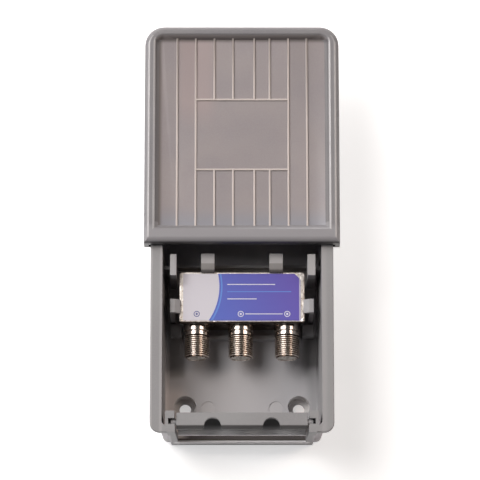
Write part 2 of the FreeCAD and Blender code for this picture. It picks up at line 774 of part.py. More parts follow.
def buildCase():
    body = newBody("module_case")
    cut = s.caseCornerCut
    outside = newSketch(body, "Outside", "XY_Plane", s.caseBack)
    polygon(outside, [(-caseHalf + cut, caseBottom), (caseHalf - cut, caseBottom),
                      (caseHalf, caseBottom + cut), (caseHalf, caseTop),
                      (-caseHalf, caseTop), (-caseHalf, caseBottom + cut)])
    pad(body, outside, s.caseDepth)
    innerHalf = caseHalf - s.caseWall
    innerBottom = caseBottom + s.caseWall
    innerTop = caseTop - s.caseWall
    inside = newSketch(body, "Inside", "XY_Plane", caseFront)
    polygon(inside, [(-innerHalf + cut, innerBottom), (innerHalf - cut, innerBottom),
                     (innerHalf, innerBottom + cut), (innerHalf, innerTop),
                     (-innerHalf, innerTop), (-innerHalf, innerBottom + cut)])
    pocket(body, inside, s.caseDepth - s.caseFloor)
    # Side ledges that carry the circuit board
    ledges = newSketch(body, "Ledges", "XY_Plane", s.caseBack + s.caseFloor / 2)
    mirroredRectangles(ledges, innerHalf - s.boardLedge, innerHalf + s.caseWall / 2,
                       innerBottom + cut + s.ledgeInset, innerTop - s.ledgeInset)
    pad(body, ledges, boardFront - s.boardThickness - s.caseBack - s.caseFloor / 2)
    # Round holes for the three sockets
    holes = newSketch(body, "PortHoles", "XZ_Plane", -caseBottom + s.cutPast)
    for x in portPositions():
        circle(holes, x, portLevel, spigotRadius)
    pocket(body, holes, s.caseWall + s.cutPast * 2)
    return body


sockets = ("left", "middle", "right")


def portPositions():
    outer = caseHalf - s.portFromSide
    return [-outer, s.portMiddleShift, outer]


def buildLid():
    body = newBody("module_lid")
    block = newSketch(body, "Block", "XY_Plane", lidFront)
    roundedRectangle(block, -lidHalf, lidHalf, lidBottom, lidTop, s.lidCorner, s.lidCorner)
    pad(body, block, s.lidSkirt, reverse=True)
    front = lidFront.number
    names = edgesWhere(body, lambda box: near(box.ZMin, front) and near(box.ZMax, front))
    dressEdges("Fillet", body, names, "Radius", s.lidEdgeRound)
    inside = newSketch(body, "Inside", "XY_Plane", lidFront - s.lidSkirt)
    rectangle(inside, -caseHalf - s.lidGap, caseHalf + s.lidGap,
              caseBottom - s.lidGap, caseTop + s.lidGap)
    pocket(body, inside, s.lidSkirt - s.lidThickness, reverse=True)
    return body


def buildLabel():
    body = newBody("module_label")
    foil = newSketch(body, "Foil", "XY_Plane", lidFront)
    left = -lidHalf + s.labelMargin
    right = lidHalf - s.labelMargin
    low = lidBottom + s.labelMargin / 2
    high = lidTop - s.labelMargin / 2
    cut = s.labelCornerCut
    polygon(foil, [(left, low), (right, low), (right, high - cut), (right - cut, high),
                   (left, high)])
    pad(body, foil, s.labelThickness)
    return body


def placeOnPort(body, x):
    bind(body, "Placement.Base.x", x)
    bind(body, "Placement.Base.y", caseBottom)
    bind(body, "Placement.Base.z", portLevel)


# Threaded shell of one socket, drawn with its axis along Y and its seat at zero.
def buildPort(word, x):
    body = newBody("port_" + word)
    profile = newSketch(body, "Profile", "XY_Plane", 0)
    collarEnd = -s.portCollarLength
    grooveEnd = collarEnd - s.portGrooveLength
    ringEnd = grooveEnd - s.portRingLength
    end = -s.portLength
    collarRadius = s.threadRadius + s.portCollarStep
    grooveRadius = s.threadRadius - s.portGrooveDepth
    polygon(profile, [(portBore, s.portSpigotLength), (portBore, end),
                      (s.threadRadius - s.portEndChamfer, end),
                      (s.threadRadius, end + s.portEndChamfer), (s.threadRadius, grooveEnd),
                      (grooveRadius, grooveEnd), (grooveRadius, collarEnd),
                      (collarRadius, collarEnd), (collarRadius, -s.portSeatGap),
                      (spigotRadius, -s.portSeatGap), (spigotRadius, s.portSpigotLength)])
    turn("Revolution", body, profile)
    cutter = newSketch(body, "Thread", "XY_Plane", 0)
    firstY = ringEnd - s.threadPitch / 2
    cutterRadius = s.threadRadius + s.threadCutOver
    polygon(cutter, [(cutterRadius, firstY + s.threadMouth / 2),
                     (s.threadRadius - s.threadDepth, firstY),
                     (cutterRadius, firstY - s.threadMouth / 2)])
    groove = turn("Groove", body, cutter)
    pattern = body.newObject("PartDesign::LinearPattern", body.Name + "Threads")
    pattern.Originals = [groove]
    pattern.Direction = (cutter, ["V_Axis"])
    pattern.Reversed = True
    threads = int((ringEnd.number - end.number - s.portEndChamfer.number) / s.threadPitch.number)
    pattern.Occurrences = threads
    bind(pattern, "Length", s.threadPitch * (threads - 1))
    body.Tip = pattern
    placeOnPort(body, x)
    doc.recompute()
    return body


def buildInsulator(word, x):
    body = newBody("insulator_" + word)
    profile = newSketch(body, "Profile", "XY_Plane", 0)
    front = -s.portLength + s.insulatorRecess
    back = front + s.insulatorLength
    seat = front + s.insulatorEntryDepth
    entry = s.contactBoreRadius + s.insulatorEntryGap
    polygon(profile, [(entry, front), (portBore, front), (portBore, back),
                      (contactRadius, back), (contactRadius, seat), (entry, seat)])
    turn("Revolution", body, profile)
    placeOnPort(body, x)
    return body


def buildContact(word, x):
    body = newBody("contact_" + word)
    profile = newSketch(body, "Profile", "XY_Plane", 0)
    front = -s.portLength + s.insulatorRecess + s.insulatorEntryDepth
    back = -s.portLength + s.insulatorRecess + s.insulatorLength
    bottom = front + s.contactBoreDepth
    tail = s.contactTailLength
    polygon(profile, [(s.contactBoreRadius, front), (contactRadius, front),
                      (contactRadius, back), (s.contactTailRadius, back),
                      (s.contactTailRadius, tail), (0, tail), (0, bottom),
                      (s.contactBoreRadius, bottom)])
    turn("Revolution", body, profile)
    placeOnPort(body, x)
    return body


# A box given by its six sides.
def box(name, left, right, low, high, back, front):
    item = doc.addObject("Part::Box", name)
    bind(item, "Length", asSize(right) - left)
    bind(item, "Width", asSize(high) - low)
    bind(item, "Height", asSize(front) - back)
    bind(item, "Placement.Base.x", left)
    bind(item, "Placement.Base.y", low)
    bind(item, "Placement.Base.z", back)
    return item


def boxOn(name, x, y, level, length, width, height):
    x = asSize(x)
    return box(name, x - length / 2, x + length / 2, y - width / 2, y + width / 2,
               level, level + height)


def joined(kind, label, parts):
    item = doc.addObject(kind, label)
    item.Label = label
    if kind == "Part::Compound":
        item.Links = parts
    else:
        item.Shapes = parts
    for part in parts:
        part.Visibility = False
    return item


# A place on the board: X is counted from the axis of a socket, and Y inwards from the socket
# wall of the case in the near row, or from the opposite wall in the far row.
def onBoard(socket, row, x, y):
    socketX = dict(zip(sockets, portPositions()))[socket]
    return socketX + x, caseBottom + y if row == "near" else caseTop - y


def buildBoard():
    half = caseHalf - s.caseWall - s.boardSideGap
    return box("circuit_board", -half, half, caseBottom + s.caseWall + s.caseCornerCut,
               caseTop - s.caseWall - s.boardSideGap, boardFront - s.boardThickness, boardFront)


chipPlace = ("middle", "far", -1.55, 4.5)
regulatorPlace = ("left", "far", 0.5, 5.4)
supplyCapacitorPlace = ("right", "far", 0.5, 5.1)
resonatorPlace = ("right", "far", -8.4, 3.9)


def buildControlChip():
    x, y = onBoard(*chipPlace)
    level = boardFront
    parts = [boxOn("chipBody", x, y, level + s.chipStandOff, s.chipLength, s.chipWidth,
                   s.chipThickness)]
    for side in (-1, 1):
        for count in range(7):
            legX = x + s.legPitch * (count - 3)
            legY = y + (s.chipWidth + s.legReach) * side / 2
            parts.append(boxOn("chipLeg", legX, legY, level, s.legWidth,
                               s.legReach + s.legRoot * 2, s.chipStandOff + s.legThickness))
    return joined("Part::MultiFuse", "control_chip", parts)


def buildRegulator():
    x, y = onBoard(*regulatorPlace)
    body = boxOn("regulatorBody", x, y, boardFront, s.regulatorLength, s.regulatorWidth,
                 s.regulatorThickness)
    tabY = y + (s.regulatorWidth + s.regulatorTab) / 2 - s.legRoot
    tab = boxOn("regulatorTab", x, tabY, boardFront, s.regulatorLength - s.regulatorTabInset * 2,
                s.regulatorTab + s.legRoot * 2, s.regulatorLegThickness)
    legs = []
    for side in (-1, 1):
        legY = y - (s.regulatorWidth + s.legReach) / 2 + s.legRoot
        legs.append(boxOn("regulatorLeg", x + s.regulatorLength * side / 3, legY, boardFront,
                          s.regulatorLegWidth, s.legReach + s.legRoot * 2,
                          s.regulatorLegThickness))
    return joined("Part::MultiFuse", "voltage_regulator", [body, tab] + legs)


def buildSupplyCapacitor():
    x, y = onBoard(*supplyCapacitorPlace)
    foot = boxOn("capacitorFoot", x, y, boardFront, s.canBase, s.canBase, s.canBaseHeight)
    can = doc.addObject("Part::Cylinder", "capacitorCan")
    bind(can, "Radius", s.canRadius)
    bind(can, "Height", s.canHeight - s.canBaseHeight / 2)
    bind(can, "Placement.Base.x", x)
    bind(can, "Placement.Base.y", y)
    bind(can, "Placement.Base.z", boardFront + s.canBaseHeight / 2)
    return joined("Part::MultiFuse", "supply_capacitor", [foot, can])


def buildResonator():
    x, y = onBoard(*resonatorPlace)
    return boxOn("ceramic_resonator", x, y, boardFront, s.resonatorLength, s.resonatorWidth,
                 s.resonatorHeight)


# A group of equal small parts, each a separate solid on the board.
def buildGroup(label, places, length, width, height):
    parts = []
    for place in places:
        x, y = onBoard(*place)
        parts.append(boxOn(label + "Part", x, y, boardFront, length, width, height))
    return joined("Part::Compound", label, parts)


diodePlaces = [("left", "near", 3.6, 5.9), ("left", "near", 6.4, 5.9),
               ("middle", "near", -3.15, 7.3), ("middle", "near", 3.85, 7.3),
               ("right", "near", -6.0, 5.9), ("right", "near", -3.2, 5.9)]
transistorPlaces = [("middle", "near", -7.55, 9.7), ("middle", "near", 5.0, 9.7),
                    ("middle", "near", 8.4, 9.7)]
capacitorPlaces = [("left", "near", -3.9, 7.1), ("left", "near", 9.6, 5.9),
                   ("middle", "near", -5.95, 7.7), ("right", "near", -10.6, 5.9),
                   ("middle", "near", 7.85, 7.7), ("right", "near", 3.4, 8.4),
                   ("right", "far", -3.4, 7.1), ("left", "far", 6.6, 6.7),
                   ("right", "far", -4.0, 1.7)]
resistorPlaces = [("left", "near", -3.9, 8.9), ("left", "near", 4.8, 8.1),
                  ("middle", "near", -3.55, 8.6), ("middle", "near", 2.6, 8.6),
                  ("right", "near", -4.6, 8.1), ("right", "near", 3.4, 6.9),
                  ("right", "far", -3.4, 5.5), ("left", "far", 6.6, 5.1),
                  ("left", "far", 6.6, 3.5)]
chokePlaces = [("left", "near", 0.4, 6.9), ("middle", "near", 0.05, 6.8),
               ("right", "near", 0.0, 7.6)]


def buildParts():
    parts = [buildBase(), buildCover(), buildFlap(), buildCase(), buildLid(), buildLabel()]
    for word, x in zip(sockets, portPositions()):
        parts.append(buildPort(word, x))
        parts.append(buildInsulator(word, x))
        parts.append(buildContact(word, x))
    parts += [buildBoard(), buildControlChip(), buildRegulator(), buildSupplyCapacitor(),
              buildResonator()]
    parts.append(buildGroup("switch_diodes", diodePlaces, s.diodeLength, s.diodeWidth,
                            s.diodeHeight))
    parts.append(buildGroup("driver_transistors", transistorPlaces, s.transistorLength,
                            s.transistorWidth, s.transistorHeight))
    parts.append(buildGroup("chip_capacitors", capacitorPlaces, s.capacitorLength,
                            s.capacitorWidth, s.capacitorHeight))
    parts.append(buildGroup("chip_resistors", resistorPlaces, s.resistorLength,
                            s.resistorWidth, s.resistorHeight))
    parts.append(buildGroup("rf_chokes", chokePlaces, s.chokeLength, s.chokeWidth,
                            s.chokeHeight))
    return parts


# Every feature of a body changes its volume.
def checkFeatures(body):
    before = 0.0
    for feature in body.Group:
        if feature.TypeId.startswith("PartDesign::"):
            volume = feature.Shape.Volume
            if abs(volume - before) < 1e-4:
                raise RuntimeError(feature.Label + " changes nothing")
            before = volume


parts = buildParts()
doc.recompute()
for item in doc.Objects:
    if "Invalid" in item.State or "Error" in item.State:
        raise RuntimeError(item.Label + " has state " + str(item.State))
for part in parts:
    if part.Shape.isNull() or not part.Shape.isValid():
        raise RuntimeError(part.Label + " has no valid shape")
    if part.TypeId == "PartDesign::Body":
        checkFeatures(part)

os.makedirs("parts", exist_ok=True)
for part in parts:
    part.Shape.exportStep("parts/" + part.Label + ".step")
    bounds = part.Shape.BoundBox
    print("%-20s volume %9.2f  X %7.2f %7.2f  Y %7.2f %7.2f  Z %6.2f %6.2f" % (
        part.Label, part.Shape.Volume, bounds.XMin, bounds.XMax, bounds.YMin, bounds.YMax,
        bounds.ZMin, bounds.ZMax))
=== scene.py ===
import json
from math import pi, radians

import bmesh
import bpy
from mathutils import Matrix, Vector, noise


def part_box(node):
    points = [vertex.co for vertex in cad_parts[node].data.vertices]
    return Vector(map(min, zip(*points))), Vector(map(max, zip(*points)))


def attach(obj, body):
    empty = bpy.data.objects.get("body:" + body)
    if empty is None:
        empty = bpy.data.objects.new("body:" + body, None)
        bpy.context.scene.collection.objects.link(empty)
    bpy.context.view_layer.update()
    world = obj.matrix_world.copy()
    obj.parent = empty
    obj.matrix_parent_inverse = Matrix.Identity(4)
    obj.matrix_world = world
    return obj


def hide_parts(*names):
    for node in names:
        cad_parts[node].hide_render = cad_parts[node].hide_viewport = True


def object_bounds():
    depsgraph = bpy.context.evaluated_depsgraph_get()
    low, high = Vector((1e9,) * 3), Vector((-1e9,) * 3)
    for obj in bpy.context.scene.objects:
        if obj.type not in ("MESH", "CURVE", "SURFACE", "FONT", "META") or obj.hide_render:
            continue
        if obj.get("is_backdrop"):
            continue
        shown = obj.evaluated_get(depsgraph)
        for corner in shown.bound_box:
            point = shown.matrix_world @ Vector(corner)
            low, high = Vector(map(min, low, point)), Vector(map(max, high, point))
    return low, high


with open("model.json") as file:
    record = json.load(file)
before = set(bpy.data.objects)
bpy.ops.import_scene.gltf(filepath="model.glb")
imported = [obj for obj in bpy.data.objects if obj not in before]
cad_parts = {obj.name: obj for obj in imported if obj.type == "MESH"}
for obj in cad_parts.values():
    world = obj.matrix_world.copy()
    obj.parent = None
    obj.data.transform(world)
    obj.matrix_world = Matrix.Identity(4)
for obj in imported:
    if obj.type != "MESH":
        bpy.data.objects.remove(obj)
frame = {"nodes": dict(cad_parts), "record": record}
frameLow, frameHigh = (corner.copy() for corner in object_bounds())
nodes = frame["nodes"]
mm = 0.001


def tone(red, green, blue):  # a screen colour of 0 to 255, as Blender's linear colour
    steps = [value / 255 for value in (red, green, blue)]
    return [((step + 0.055) / 1.055) ** 2.4 if step > 0.04 else step / 12.92 for step in steps] + [1.0]


# Helpers for meshes

meshStyle = {"merge": 1e-6, "spinMerge": 1e-7, "cut": 1e-7, "flatAngle": 0.5}


def copyOfNode(name):  # a CAD mesh is loose triangles, so its copy is merged and its flat faces joined
    bm = bmesh.new()
    bm.from_mesh(nodes[name].data)
    bmesh.ops.remove_doubles(bm, verts=bm.verts, dist=meshStyle["merge"])
    bmesh.ops.dissolve_limit(bm, angle_limit=radians(meshStyle["flatAngle"]), verts=bm.verts, edges=bm.edges)
    return bm


def sharpEdges(bm, angle, within=None, room=0.0):  # room is the least length of the edges round them
    found = []
    for edge in bm.edges:
        if not edge.is_manifold or edge.calc_face_angle() < radians(angle):
            continue
        if within and not all(within(*(vert.co / mm)) for vert in edge.verts):
            continue
        around = [other for vert in edge.verts for other in vert.link_edges]
        if min(other.calc_length() for other in around) < room * mm:
            continue
        found.append(edge)
    return found


def longOnes(edges, length):
    return [edge for edge in edges if edge.calc_length() > length * mm]


def soften(bm, edges, width, segments=2):
    return bmesh.ops.bevel(bm, geom=edges, offset=width * mm, offset_type="OFFSET", affect="EDGES",
                           segments=segments, profile=0.5, material=-1, clamp_overlap=False,
                           loop_slide=True)["faces"]


def dice(bm, axis, spacing, low, high):  # cuts the mesh into slices, so that its surface can be worked
    normal = Vector([1 if index == axis else 0 for index in range(3)])
    count = int((high - low) / spacing)
    for step in range(1, count):
        place = normal * (low + (high - low) * step / count) * mm
        geometry = bm.verts[:] + bm.edges[:] + bm.faces[:]
        bmesh.ops.bisect_plane(bm, geom=geometry, plane_co=place, plane_no=normal, dist=meshStyle["cut"])


def newPiece(name, bm, body, materials, replaced=(), smoothAngle=32):
    mesh = bpy.data.meshes.new(name)
    bm.to_mesh(mesh)
    bm.free()
    for material in materials:
        mesh.materials.append(material)
    mesh.polygons.foreach_set("use_smooth", [True] * len(mesh.polygons))
    mesh.set_sharp_from_angle(angle=radians(smoothAngle))
    piece = bpy.data.objects.new(name, mesh)
    bpy.context.scene.collection.objects.link(piece)
    weighted = piece.modifiers.new("flatFaces", "WEIGHTED_NORMAL")  # big flat faces keep their own direction
    weighted.keep_sharp = True
    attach(piece, body)
    if replaced:
        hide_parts(*replaced)
    return piece


def refinish(nodeName, material):  # a CAD piece that keeps its shape
    nodes[nodeName].data.materials.clear()
    nodes[nodeName].data.materials.append(material)


# Helpers for materials

class NodeDesk:  # adds nodes to a material or a sky and joins them up
    def __init__(self, owner, endNode="Principled BSDF", placeName="Object"):
        self.owner = owner
        owner.use_nodes = True
        self.tree = owner.node_tree
        self.end = self.tree.nodes[endNode]
        self.place = self.add("ShaderNodeTexCoord").outputs[placeName]

    def put(self, node, key, value):
        if isinstance(value, bpy.types.NodeSocket):
            self.tree.links.new(value, node.inputs[key])
        else:
            node.inputs[key].default_value = value

    def add(self, kind, inputs=None, **settings):
        node = self.tree.nodes.new(kind)
        for key, value in settings.items():
            setattr(node, key, value)
        for key, value in (inputs or {}).items():
            self.put(node, key, value)
        return node

    def axes(self, place=None):
        return self.add("ShaderNodeSeparateXYZ", {0: self.place if place is None else place}).outputs

    def noise(self, size, detail=3.0, roughness=0.55):
        return self.add("ShaderNodeTexNoise", {"Vector": self.place, "Scale": 1 / (size * mm),
                                               "Detail": detail, "Roughness": roughness}).outputs["Fac"]

    def math(self, operation, first, second=0.0, third=0.0):
        return self.add("ShaderNodeMath", {0: first, 1: second, 2: third}, operation=operation).outputs[0]

    def span(self, value, low, high, newLow=0.0, newHigh=1.0, smooth=False):
        kind = "SMOOTHSTEP" if smooth else "LINEAR"
        return self.add("ShaderNodeMapRange", {"Value": value, "From Min": low, "From Max": high,
                                               "To Min": newLow, "To Max": newHigh},
                        interpolation_type=kind).outputs["Result"]

    def mix(self, factor, first, second):
        node = self.add("ShaderNodeMix", data_type="RGBA", blend_type="MIX")
        for index, value in ((0, factor), (6, first), (7, second)):
            self.put(node, index, value)
        return node.outputs[2]

    def bump(self, height, strength, distance, normal=None):
        inputs = {"Height": height, "Strength": strength, "Distance": distance * mm}
        if normal:
            inputs["Normal"] = normal
        return self.add("ShaderNodeBump", inputs).outputs["Normal"]

    def seenDirectly(self):  # 1 for what shows to the camera straight, in a gloss or through glass
        rays = self.add("ShaderNodeLightPath").outputs
        seen = self.math("MAXIMUM", rays["Is Camera Ray"], rays["Is Glossy Ray"])
        return self.math("MAXIMUM", seen, rays["Is Transmission Ray"])

    def finish(self, linked=None, **fixed):
        for key, value in (linked or {}).items():
            self.put(self.end, key, value)
        for key, value in fixed.items():
            self.put(self.end, key.replace("_", " "), value)
        return self.owner


def materialDesk(name):
    return NodeDesk(bpy.data.materials.new(name))


# A span is an axis and two levels in millimetres: where the tone is off, and where it is full
def patch(colour, amount, *spans):
    return {"colour": colour, "amount": amount, "spans": spans}


def toned(desk, colour, patches):
    axes = desk.axes()
    for part in patches:
        amount = part["amount"]
        for axis, off, full in part["spans"]:
            amount = desk.math("MULTIPLY", amount, desk.span(axes[axis], off * mm, full * mm, smooth=True))
        colour = desk.mix(amount, colour, tone(*part["colour"]))
    return colour


plasticRecipe = {"cloud": (0.35, 0.65), "speck": (0.3, 0.75), "speckShare": 1.7, "gloss": (0.3, 0.7),
                 "glossShare": 0.6, "ior": 1.47}
metalRecipe = {"cloud": (0.35, 0.7), "spotFade": 0.08, "gloss": (0.3, 0.7)}
plainRecipe = {"cloud": (0.3, 0.7), "gloss": (0.3, 0.7)}


def mouldedPlastic(name, look):
    desk, recipe = materialDesk(name), plasticRecipe
    cloud = desk.noise(look["cloudSize"], detail=2.0)
    colour = desk.mix(desk.span(cloud, *recipe["cloud"]), tone(*look["colour"]), tone(*look["cloudColour"]))
    speck = desk.noise(look["grainSize"] * recipe["speckShare"], detail=2.0, roughness=0.7)
    speck = desk.span(speck, *recipe["speck"], 0.0, look["speck"])
    colour = desk.mix(speck, colour, tone(*look["speckColour"]))
    colour = toned(desk, colour, look.get("patches", []))
    grain = desk.noise(look["grainSize"], detail=3.0, roughness=0.6)
    sink = desk.noise(look["sinkSize"], detail=1.0)
    gloss = desk.noise(look["cloudSize"] * recipe["glossShare"], detail=3.0)
    normal = desk.bump(sink, look["sinkStrength"], look["sinkDepth"])
    normal = desk.bump(grain, look["grainStrength"], look["grainDepth"], normal)
    rough = desk.span(gloss, *recipe["gloss"], look["roughLow"], look["roughHigh"])
    return desk.finish({"Base Color": colour, "Roughness": rough, "Normal": normal}, IOR=recipe["ior"])


def platedMetal(name, look):
    desk, recipe = materialDesk(name), metalRecipe
    cloud = desk.noise(look["cloudSize"], detail=4.0, roughness=0.6)
    colour = desk.mix(desk.span(cloud, *recipe["cloud"]), tone(*look["colour"]), tone(*look["cloudColour"]))
    spots = desk.noise(look["spotSize"], detail=2.0, roughness=0.5)
    spotFull = look["spotStart"] + recipe["spotFade"]
    spots = desk.span(spots, look["spotStart"], spotFull, 0.0, look["spotAmount"])
    colour = desk.mix(spots, colour, tone(*look["spotColour"]))
    dents = desk.noise(look["dentSize"], detail=2.0)
    grain = desk.noise(look["grainSize"], detail=2.0, roughness=0.7)
    normal = desk.bump(dents, look["dentStrength"], look["dentDepth"])
    normal = desk.bump(grain, look["grainStrength"], look["grainDepth"], normal)
    rough = desk.span(cloud, *recipe["gloss"], look["roughLow"], look["roughHigh"])
    return desk.finish({"Base Color": colour, "Roughness": rough, "Normal": normal}, Metallic=1.0)


def plainFinish(name, look):
    desk, recipe = materialDesk(name), plainRecipe
    cloud = desk.noise(look["cloudSize"], detail=3.0)
    colour = desk.mix(desk.span(cloud, *recipe["cloud"]), tone(*look["colour"]), tone(*look["cloudColour"]))
    grain = desk.noise(look["grainSize"], detail=2.0, roughness=0.6)
    normal = desk.bump(grain, look["grainStrength"], look["grainDepth"])
    rough = desk.span(cloud, *recipe["gloss"], look["roughLow"], look["roughHigh"])
    return desk.finish({"Base Color": colour, "Roughness": rough, "Normal": normal},
                       Metallic=look.get("metal", 0.0))


# Camera, floor, lights

photoCamera = {"lens": 255.0, "sensor": 36, "farEnd": 20, "target": (-0.74, -1.4, 18.0),
               "place": (-0.74, -326.6, 1266.3)}

camera = bpy.data.objects.new("photoCamera", bpy.data.cameras.new("photoCamera"))
camera.data.lens = photoCamera["lens"]
camera.data.sensor_width = photoCamera["sensor"]
camera.data.clip_end = photoCamera["farEnd"]
camera.location = Vector(photoCamera["place"]) * mm
sight = (Vector(photoCamera["target"]) - Vector(photoCamera["place"])) * mm
camera.rotation_euler = sight.to_track_quat("-Z", "Y").to_euler()
bpy.context.scene.collection.objects.link(camera)
bpy.context.scene.camera = camera
bpy.context.scene.view_settings.view_transform = "Standard"

floorLook = {
    "size": 12.0, "colour": (226, 225, 226), "paperColour": (247, 247, 248), "paperSize": 30.0,
    "rough": 0.6, "gloss": 0.1, "glow": 0.55,
    "coveredX": (0.0, 30), "coveredY": (-40, 34),  # middle and half width of the floor under the object
    # painted shade: the floor under the object is darker and glows less
    "coveredShadeColour": (206, 186, 178), "coveredShadeGlow": 0.46,
    "besideX": (26, 34), "besideY": (-45, 15), "shadowLiftGlow": 0.1,  # painted light: extra glow that lightens the cast shadow at the right of the cover
}

bm = bmesh.new()
bmesh.ops.create_grid(bm, x_segments=1, y_segments=1, size=floorLook["size"] / 2)
floorMesh = bpy.data.meshes.new("studioFloor")
bm.to_mesh(floorMesh)
bm.free()
floor = bpy.data.objects.new("studioFloor", floorMesh)
bpy.context.scene.collection.objects.link(floor)
floor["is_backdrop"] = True
desk = materialDesk("paperFloor")
direct = desk.seenDirectly()
paper = desk.noise(floorLook["paperSize"], detail=2.0)
floorAxes = desk.axes()
covered, beside = 1.0, 1.0
for axis in "XY":
    middle, half = (value * mm for value in floorLook["covered" + axis])
    covered = desk.math("MULTIPLY", covered, desk.math("COMPARE", floorAxes[axis], middle, half))
    low, high = (value * mm for value in floorLook["beside" + axis])
    beside = desk.math("MULTIPLY", beside, desk.span(floorAxes[axis], low, high, smooth=True))
# painted shade: less glow on the floor under the object
glow = desk.span(covered, 0.0, 1.0, floorLook["glow"], floorLook["coveredShadeGlow"])
# painted light: more glow on the floor beside the cover
glow = desk.math("MULTIPLY_ADD", beside, floorLook["shadowLiftGlow"], glow)
glow = desk.math("MULTIPLY", direct, glow)
paperTone = desk.mix(paper, tone(*floorLook["colour"]), tone(*floorLook["paperColour"]))
floorTone = desk.mix(covered, paperTone, tone(*floorLook["coveredShadeColour"]))
floor.data.materials.append(desk.finish({"Base Color": floorTone, "Emission Strength": glow},
                                        Emission_Color=(1.0, 1.0, 1.0, 1.0), Roughness=floorLook["rough"],
                                        Specular_IOR_Level=floorLook["gloss"]))

lampTarget = Vector((0, 0, 0.02))
lamps = {
    "windowLamp": {"place": (-0.85, 0.80, 0.95), "size": (1.05, 1.15), "power": 12.4,
                   "colour": (255, 252, 250)},
    "highLamp": {"place": (-0.80, 0.36, 1.19), "size": (0.85, 0.95), "power": 11.2,
                 "colour": (255, 252, 250)},
    "warmLamp": {"place": (0.98, 0.32, 1.09), "size": (0.45, 0.70), "power": 5.6,
                 "colour": (255, 238, 224)},
}

for name, lamp in lamps.items():
    light = bpy.data.lights.new(name, "AREA")
    light.shape = "RECTANGLE"
    light.size, light.size_y = lamp["size"]
    light.energy = lamp["power"]
    light.color = tone(*lamp["colour"])[:3]
    holder = bpy.data.objects.new(name, light)
    holder.location = Vector(lamp["place"])
    aim = lampTarget - holder.location
    holder.rotation_euler = aim.to_track_quat("-Z", "Y").to_euler()
    bpy.context.scene.collection.objects.link(holder)

skyLook = {"colour": (1.0, 0.99, 1.0, 1.0), "fill": 0.05, "heights": (0.06, 0.4), "shades": (0.8, 0.08)}

sky = bpy.data.worlds.new("studioSky")
desk = NodeDesk(sky, "Background", "Generated")
bpy.context.scene.world = sky
shade = desk.span(desk.axes()["Z"], *skyLook["heights"], *skyLook["shades"])  # darker overhead
skyMix = desk.add("ShaderNodeMix", {0: desk.seenDirectly(), 2: skyLook["fill"], 3: shade})
desk.finish({"Strength": skyMix.outputs[0]}, Color=skyLook["colour"])
print("stage: camera, floor and lights")


# Base housing

greyPlastic = {"colour": (157, 157, 159), "cloudColour": (150, 149, 152), "cloudSize": 26.0,
               "grainSize": 0.35, "speck": 0.35, "speckColour": (170, 168, 168),
               "sinkSize": 14.0, "sinkStrength": 0.25, "sinkDepth": 0.25,
               "grainStrength": 0.22, "grainDepth": 0.03, "roughLow": 0.42, "roughHigh": 0.56}
housingStyle = {"edge": 0.16, "angle": 35, "room": 0.4, "wallFoot": 26.5, "footLevels": (6.5, 8.5)}

insideWalls = [("X", -30.2, -29.4), ("X", 30.2, 29.4), ("Y", -76.4, -75.4), ("Y", 2.5, 1.5), ("Z", 0.8, 1.6)]
trayFloor = insideWalls + [("Z", 8.4, 7.6)]
flangeTop = [("Z", 28.0, 29.0)]
clipTops = [("Z", 22.5, 24.0)]
upperClips = clipTops + [("X", -16.5, -16.0), ("X", 16.5, 16.0)]
lowerCorner = [("Y", -69.0, -72.0), ("Z", 27.0, 19.0)]
housingPatches = [
    patch((190, 188, 191), 0.75, *trayFloor),  # painted light: the tray floor is made lighter
    # Painted light on the fronts of the clips and guides
    patch((178, 177, 179), 0.8, *clipTops, ("X", -29.3, -28.3), ("X", 29.3, 28.3), ("Y", -36, -34)),
    patch((184, 182, 184), 0.8, *flangeTop, ("X", -33.3, -33.8)),  # painted highlights along the edges of the walls
    patch((176, 174, 176), 0.8, *flangeTop, ("X", -31.0, -30.5), ("X", -29.3, -30.0)),
    patch((172, 170, 172), 0.8, *flangeTop, ("X", 32.4, 30.6), ("X", 29.3, 30.0)),
    patch((194, 192, 194), 0.9, *upperClips, ("Y", -9.4, -11.2), ("Y", -12.7, -12.3)),  # painted light over the hooks
    patch((154, 151, 150), 0.9, *upperClips, ("Y", -12.3, -12.8)),  # and painted shade below them, darkest in the shadow under the hooks
    patch((84, 80, 80), 0.9, *upperClips, ("Y", -14.3, -15.2)),
    # painted shade on the right side of the tray floor, by the right socket
    patch((98, 96, 97), 0.9, *trayFloor, ("X", 21.5, 25.5), ("Y", -35.5, -37.2), ("Y", -53.0, -47.0)),
    patch((156, 155, 157), 0.9, *trayFloor, ("X", 23.0, 27.0), ("Y", -47.0, -52.0)),  # the shaded right side
    patch((140, 136, 134), 0.7, *trayFloor, ("X", -20.5, -23.0), ("X", -27.8, -27.0),  # the shaded left side
          ("Y", -35.5, -37.2), ("Y", -54.0, -51.0)),
    patch((202, 196, 196), 0.8, *insideWalls, ("Z", 13.0, 11.0), ("X", -27.0, -27.8),  # painted light at the foot of the left wall
          ("Y", -40.5, -43.5)),
    patch((66, 59, 55), 0.92, ("Y", -69.0, -71.0), ("Z", 7.8, 7.2), ("Y", -77.0, -76.4)),  # painted shade on the floor under the flap, by the sill
    patch((246, 244, 246), 0.95, ("Y", -76.5, -76.9), ("Z", 8.5, 7.5), ("Z", 1.5, 3.5),  # painted light on the sill's outer edge
          ("X", -26.4, -24.5), ("X", 26.4, 24.5)),
    patch((230, 227, 232), 0.7, *lowerCorner, ("X", -26.0, -27.2)),  # painted light: the corners at the lower end are made pale
    patch((208, 199, 205), 0.7, *lowerCorner, ("X", 26.0, 27.2)),
    patch((214, 211, 210), 0.8, *insideWalls, ("Z", 7.0, 6.2)),  # painted light in the screw cups, and on the floor by the left one
    patch((226, 219, 218), 0.8, *trayFloor, ("Z", 6.0, 6.6), ("X", -19.0, -24.0), ("Y", -54, -60)),
]
housingFinish = mouldedPlastic("housingPlastic", dict(greyPlastic, patches=housingPatches))


def offWallFoot(x, y, z):  # the foot of the tray walls has a moulded round already
    low, high = housingStyle["footLevels"]
    return not low <= z <= high or abs(x) < housingStyle["wallFoot"]


